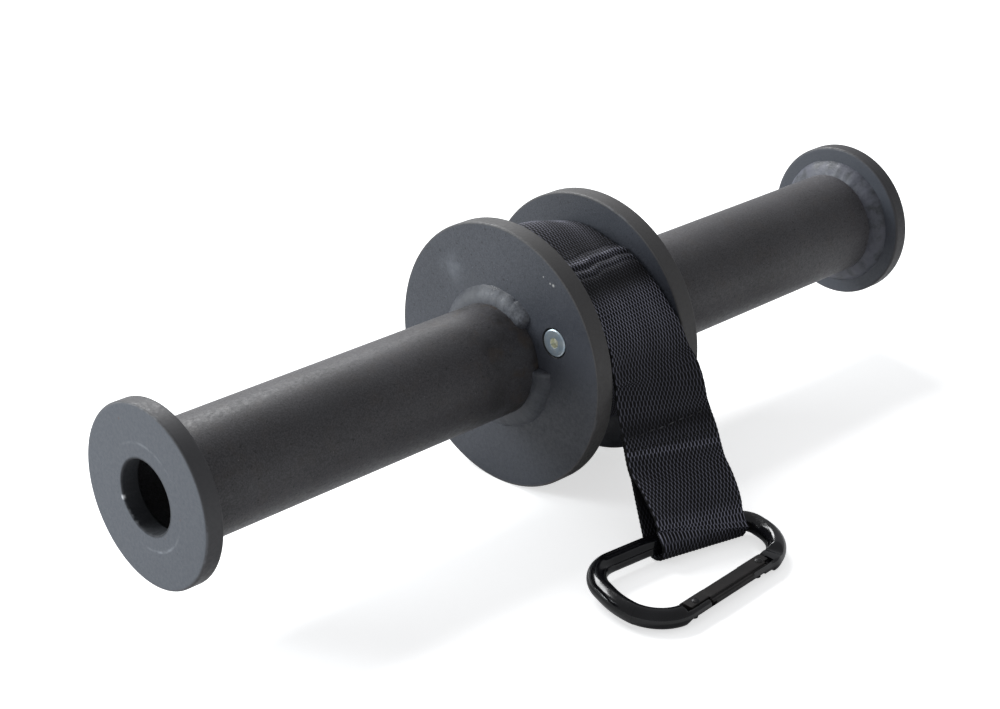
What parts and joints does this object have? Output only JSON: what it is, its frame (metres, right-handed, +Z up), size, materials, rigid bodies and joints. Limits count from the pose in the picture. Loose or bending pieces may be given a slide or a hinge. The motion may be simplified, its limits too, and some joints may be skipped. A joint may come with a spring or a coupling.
{
  "type": "wrist roller",
  "caption": "Wrist roller: a long steel tube with plate ends and a flanged drum at its middle, on which a bolted webbing strap winds; its free end is sewn round a carabiner.",
  "frame": {"origin": "on the surface that the roller stands on, at the middle of its length and of its depth", "axes": "+X along the tube, towards the flange without the bolt's head; the strap leaves towards -Y; +Z up"},
  "size_m": [0.435, 0.2026, 0.1199],
  "materials": {
    "speckled_paint": "fine speckled matt powder coat, brown-black",
    "plate_paint": "satin powder coat, dark blue-grey, with worn edges",
    "painted_weld": "grainy satin paint over a fillet bead",
    "zinc_steel": "bright zinc plate",
    "black_webbing": "ribbed woven webbing with a slight sheen",
    "black_anodised": "gloss black anodised",
    "blackened_steel": "blackened, satin"
  },
  "bodies": {
    "roller": {"main_tube": "speckled_paint", "left_end_plate": "plate_paint", "right_end_plate": "plate_paint", "left_drum_flange": "plate_paint", "right_drum_flange": "plate_paint", "left_end_weld": "painted_weld", "right_end_weld": "painted_weld", "left_flange_weld_upper": "painted_weld", "left_flange_weld_lower": "painted_weld", "right_flange_weld_upper": "painted_weld", "right_flange_weld_lower": "painted_weld", "strap_bolt": "zinc_steel", "strap_eye": "black_webbing", "strap_inner_turns": "black_webbing", "strap_outer_turn": "black_webbing"},
    "strap": {"strap_run": "black_webbing"},
    "carabiner": {"carabiner_body": "black_anodised", "gate_hinge_rivet": "blackened_steel"},
    "gate": {"carabiner_gate": "black_anodised", "gate_latch_rivet": "blackened_steel", "gate_spring": "zinc_steel"},
    "plunger": {"gate_plunger": "zinc_steel"}
  },
  "joints": [
    {"name": "strap_swing", "type": "hinge", "parent": "roller", "child": "strap", "pos_m": [0, -0.00649, 0.08788], "axis": [-1, 0, 0], "range_deg": [0, 75]},
    {"name": "carabiner_swing", "type": "hinge", "parent": "strap", "child": "carabiner", "pos_m": [-0.0167, -0.06062, 0.00711], "axis": [-0.9764, 0.2146, 0.0235], "range_deg": [-210, 100]},
    {"name": "gate_hinge", "type": "hinge", "parent": "carabiner", "child": "gate", "pos_m": [-0.01722, -0.0946, 0.0042], "axis": [-0.0052, 0.0854, -0.9963], "range_deg": [0, 25], "stiffness_Nm_per_rad": 0.25, "springref_deg": -28.65},
    {"name": "gate_plunger_slide", "type": "slide", "parent": "gate", "child": "plunger", "axis": [-0.9981, -0.0611, 0], "range_m": [0, 0.0009]}
  ],
  "couplings": [
    {"joint": "gate_plunger_slide", "follows": "gate_hinge", "m_per_rad": 0.00206}
  ]
}
